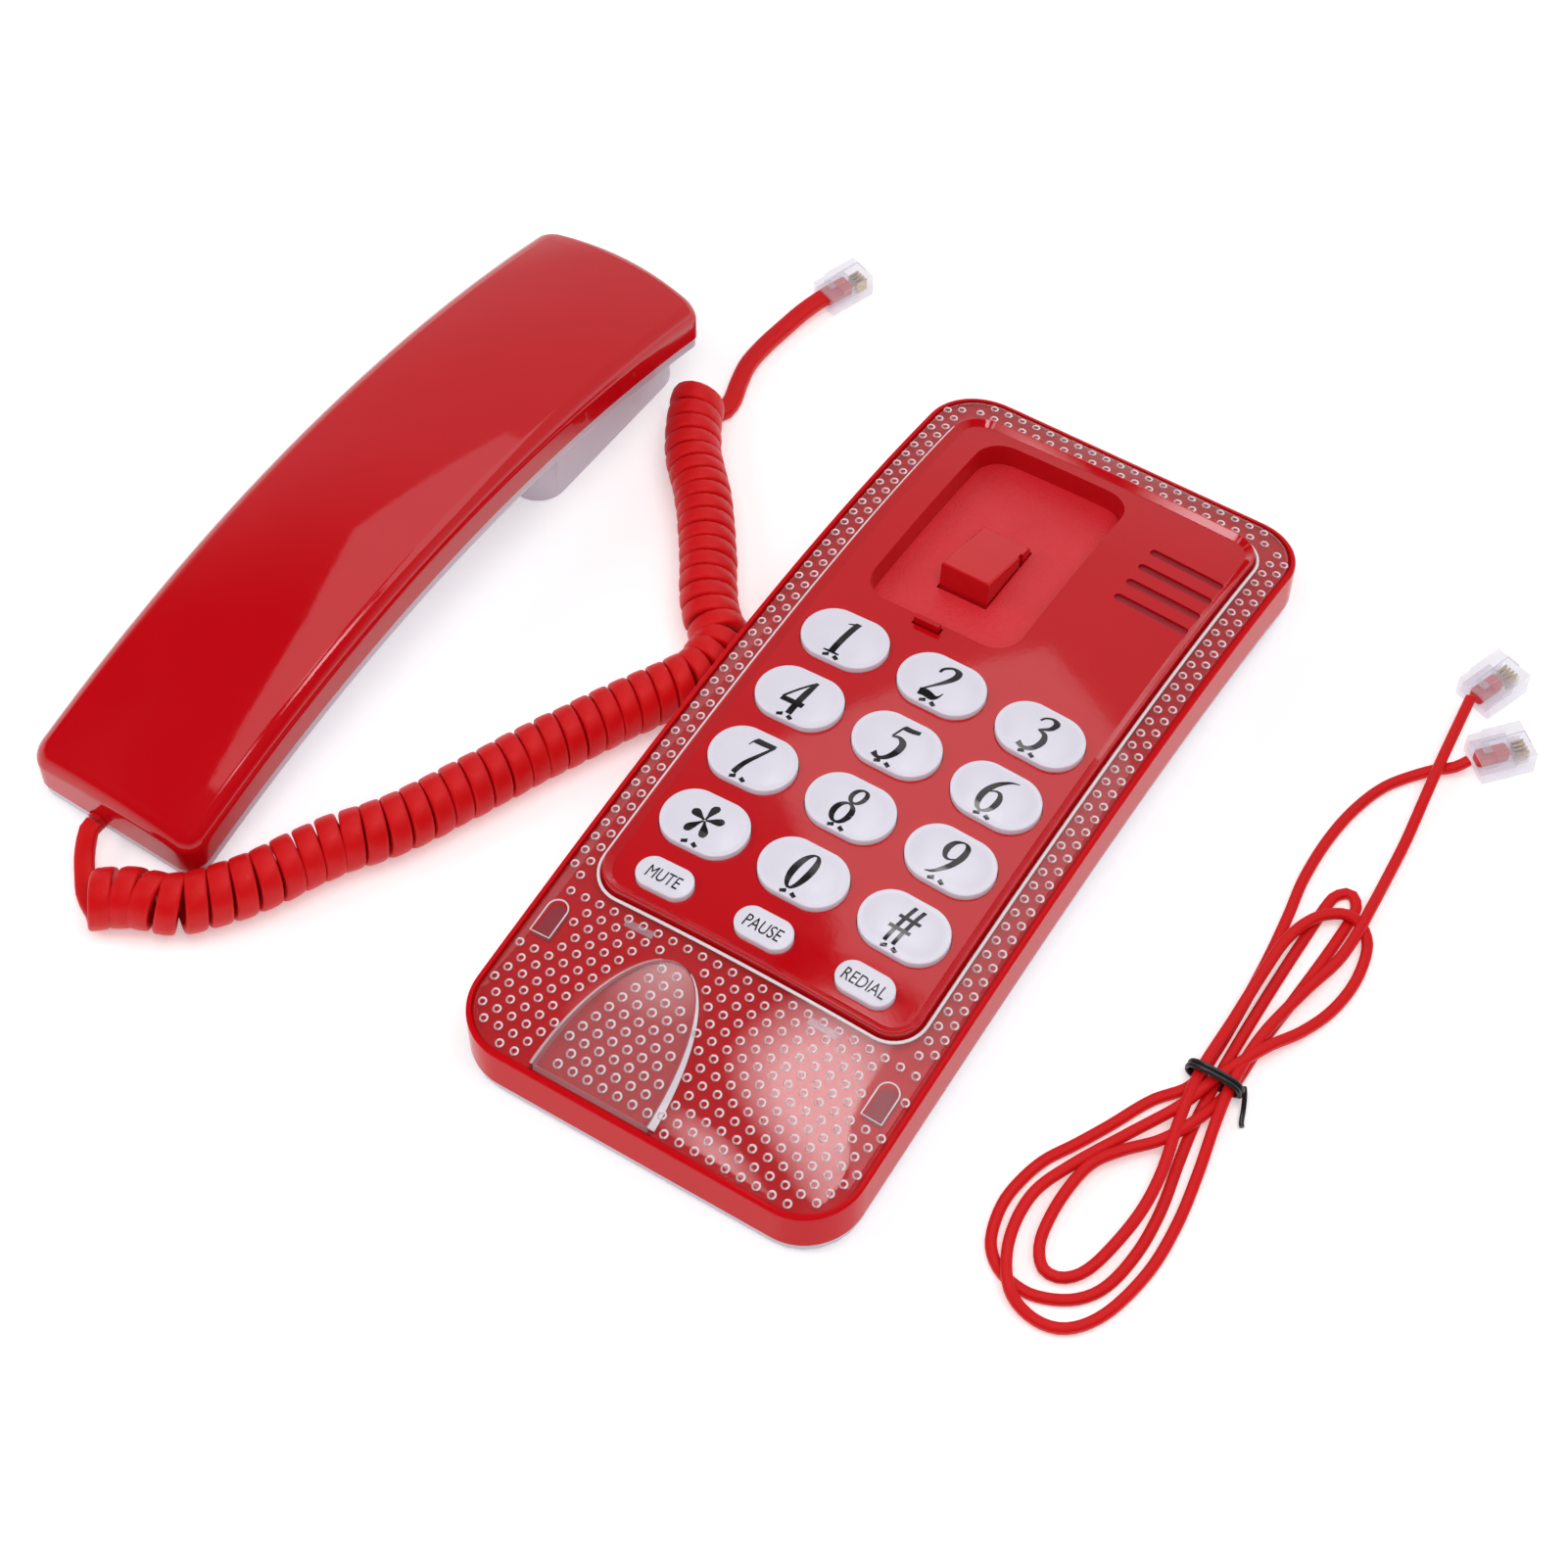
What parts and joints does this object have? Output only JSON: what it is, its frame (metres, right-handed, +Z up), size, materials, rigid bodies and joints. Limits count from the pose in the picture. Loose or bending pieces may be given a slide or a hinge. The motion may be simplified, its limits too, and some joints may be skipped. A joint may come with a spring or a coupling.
{
  "type": "slimline wall telephone",
  "caption": "Slim arched telephone base with a keypad and a cradle pocket, a separate handset beside it, a curly handset cord and a folded line cord.",
  "frame": {"origin": "on the desk, under the middle of the box round the base and the handset", "axes": "+Z up; +Y from the base's keypad end to its cradle end; +X from the handset to the base"},
  "size_m": [0.2664, 0.2457, 0.0341],
  "materials": {
    "red_plastic": "glossy red",
    "clear_plastic": "clear, polished",
    "pale_plastic": "glossy pale",
    "key_plastic": "glossy, clear cap over a pale insert",
    "black_plastic": "matte black",
    "rubber": "matte",
    "board": "green laminate",
    "brass": "plain",
    "steel": "plain"
  },
  "bodies": {
    "base": {"front_housing": "red_plastic", "rear_cover": "pale_plastic", "clear_cover": "clear_plastic", "face_panel": "red_plastic", "hook_switch": "black_plastic", "keypad_mat": "rubber", "main_board": "board", "ringer_disc": "brass", "line_socket": "black_plastic", "handset_socket": "black_plastic", "case_screw_1": "steel", "case_screw_2": "steel", "case_screw_3": "steel", "case_screw_4": "steel", "foot_1": "rubber", "foot_2": "rubber", "foot_3": "rubber", "foot_4": "rubber", "handset_lead": "red_plastic", "coil_lower": "red_plastic", "coil_upper": "red_plastic", "plug_lead": "red_plastic", "handset_plug": "clear_plastic", "line_cord": "red_plastic", "line_plug_a": "clear_plastic", "line_plug_b": "clear_plastic", "twist_tie": "black_plastic"},
    "handset": {"handset_back_shell": "red_plastic", "handset_front_shell": "pale_plastic", "receiver_capsule": "black_plastic", "microphone_capsule": "black_plastic", "handset_ballast": "steel", "handset_screw_1": "steel", "handset_screw_2": "steel", "cord_grommet": "black_plastic"},
    "hook": {"hook_paddle": "red_plastic"},
    "tab": {"hook_tab": "red_plastic"},
    "key_1": {"key_1": "key_plastic"},
    "key_2": {"key_2": "key_plastic"},
    "key_3": {"key_3": "key_plastic"},
    "key_4": {"key_4": "key_plastic"},
    "key_5": {"key_5": "key_plastic"},
    "key_6": {"key_6": "key_plastic"},
    "key_7": {"key_7": "key_plastic"},
    "key_8": {"key_8": "key_plastic"},
    "key_9": {"key_9": "key_plastic"},
    "key_star": {"key_star": "key_plastic"},
    "key_0": {"key_0": "key_plastic"},
    "key_hash": {"key_hash": "key_plastic"},
    "key_mute": {"key_mute": "key_plastic"},
    "key_pause": {"key_pause": "key_plastic"},
    "key_redial": {"key_redial": "key_plastic"}
  },
  "joints": [
    {"name": "key_1_press", "type": "slide", "parent": "base", "child": "key_1", "axis": [0, 0, -1], "range_m": [0, 0.0016], "stiffness_N_per_m": 300, "springref_m": -0.0008},
    {"name": "key_2_press", "type": "slide", "parent": "base", "child": "key_2", "axis": [0, 0, -1], "range_m": [0, 0.0016], "stiffness_N_per_m": 300, "springref_m": -0.0008},
    {"name": "key_3_press", "type": "slide", "parent": "base", "child": "key_3", "axis": [0, 0, -1], "range_m": [0, 0.0016], "stiffness_N_per_m": 300, "springref_m": -0.0008},
    {"name": "key_4_press", "type": "slide", "parent": "base", "child": "key_4", "axis": [0, 0, -1], "range_m": [0, 0.0016], "stiffness_N_per_m": 300, "springref_m": -0.0008},
    {"name": "key_5_press", "type": "slide", "parent": "base", "child": "key_5", "axis": [0, 0, -1], "range_m": [0, 0.0016], "stiffness_N_per_m": 300, "springref_m": -0.0008},
    {"name": "key_6_press", "type": "slide", "parent": "base", "child": "key_6", "axis": [0, 0, -1], "range_m": [0, 0.0016], "stiffness_N_per_m": 300, "springref_m": -0.0008},
    {"name": "key_7_press", "type": "slide", "parent": "base", "child": "key_7", "axis": [0, 0, -1], "range_m": [0, 0.0016], "stiffness_N_per_m": 300, "springref_m": -0.0008},
    {"name": "key_8_press", "type": "slide", "parent": "base", "child": "key_8", "axis": [0, 0, -1], "range_m": [0, 0.0016], "stiffness_N_per_m": 300, "springref_m": -0.0008},
    {"name": "key_9_press", "type": "slide", "parent": "base", "child": "key_9", "axis": [0, 0, -1], "range_m": [0, 0.0016], "stiffness_N_per_m": 300, "springref_m": -0.0008},
    {"name": "key_star_press", "type": "slide", "parent": "base", "child": "key_star", "axis": [0, 0, -1], "range_m": [0, 0.0016], "stiffness_N_per_m": 300, "springref_m": -0.0008},
    {"name": "key_0_press", "type": "slide", "parent": "base", "child": "key_0", "axis": [0, 0, -1], "range_m": [0, 0.0016], "stiffness_N_per_m": 300, "springref_m": -0.0008},
    {"name": "key_hash_press", "type": "slide", "parent": "base", "child": "key_hash", "axis": [0, 0, -1], "range_m": [0, 0.0016], "stiffness_N_per_m": 300, "springref_m": -0.0008},
    {"name": "key_mute_press", "type": "slide", "parent": "base", "child": "key_mute", "axis": [0, 0, -1], "range_m": [0, 0.001], "stiffness_N_per_m": 300, "springref_m": -0.0008},
    {"name": "key_pause_press", "type": "slide", "parent": "base", "child": "key_pause", "axis": [0, 0, -1], "range_m": [0, 0.001], "stiffness_N_per_m": 300, "springref_m": -0.0008},
    {"name": "key_redial_press", "type": "slide", "parent": "base", "child": "key_redial", "axis": [0, 0, -1], "range_m": [0, 0.001], "stiffness_N_per_m": 300, "springref_m": -0.0008},
    {"name": "hook_hinge", "type": "hinge", "parent": "base", "child": "hook", "pos_m": [0.04464, 0.0625, 0.01698], "axis": [1, 0, 0], "range_deg": [0, 14], "stiffness_Nm_per_rad": 0.02, "springref_deg": -8.59},
    {"name": "tab_slide", "type": "slide", "parent": "base", "child": "tab", "axis": [0, 0, 1], "range_m": [0, 0.008]},
    {"name": "handset_lift", "type": "slide", "parent": "base", "child": "handset", "axis": [0, 0, 1], "range_m": [0, 0.06]}
  ]
}
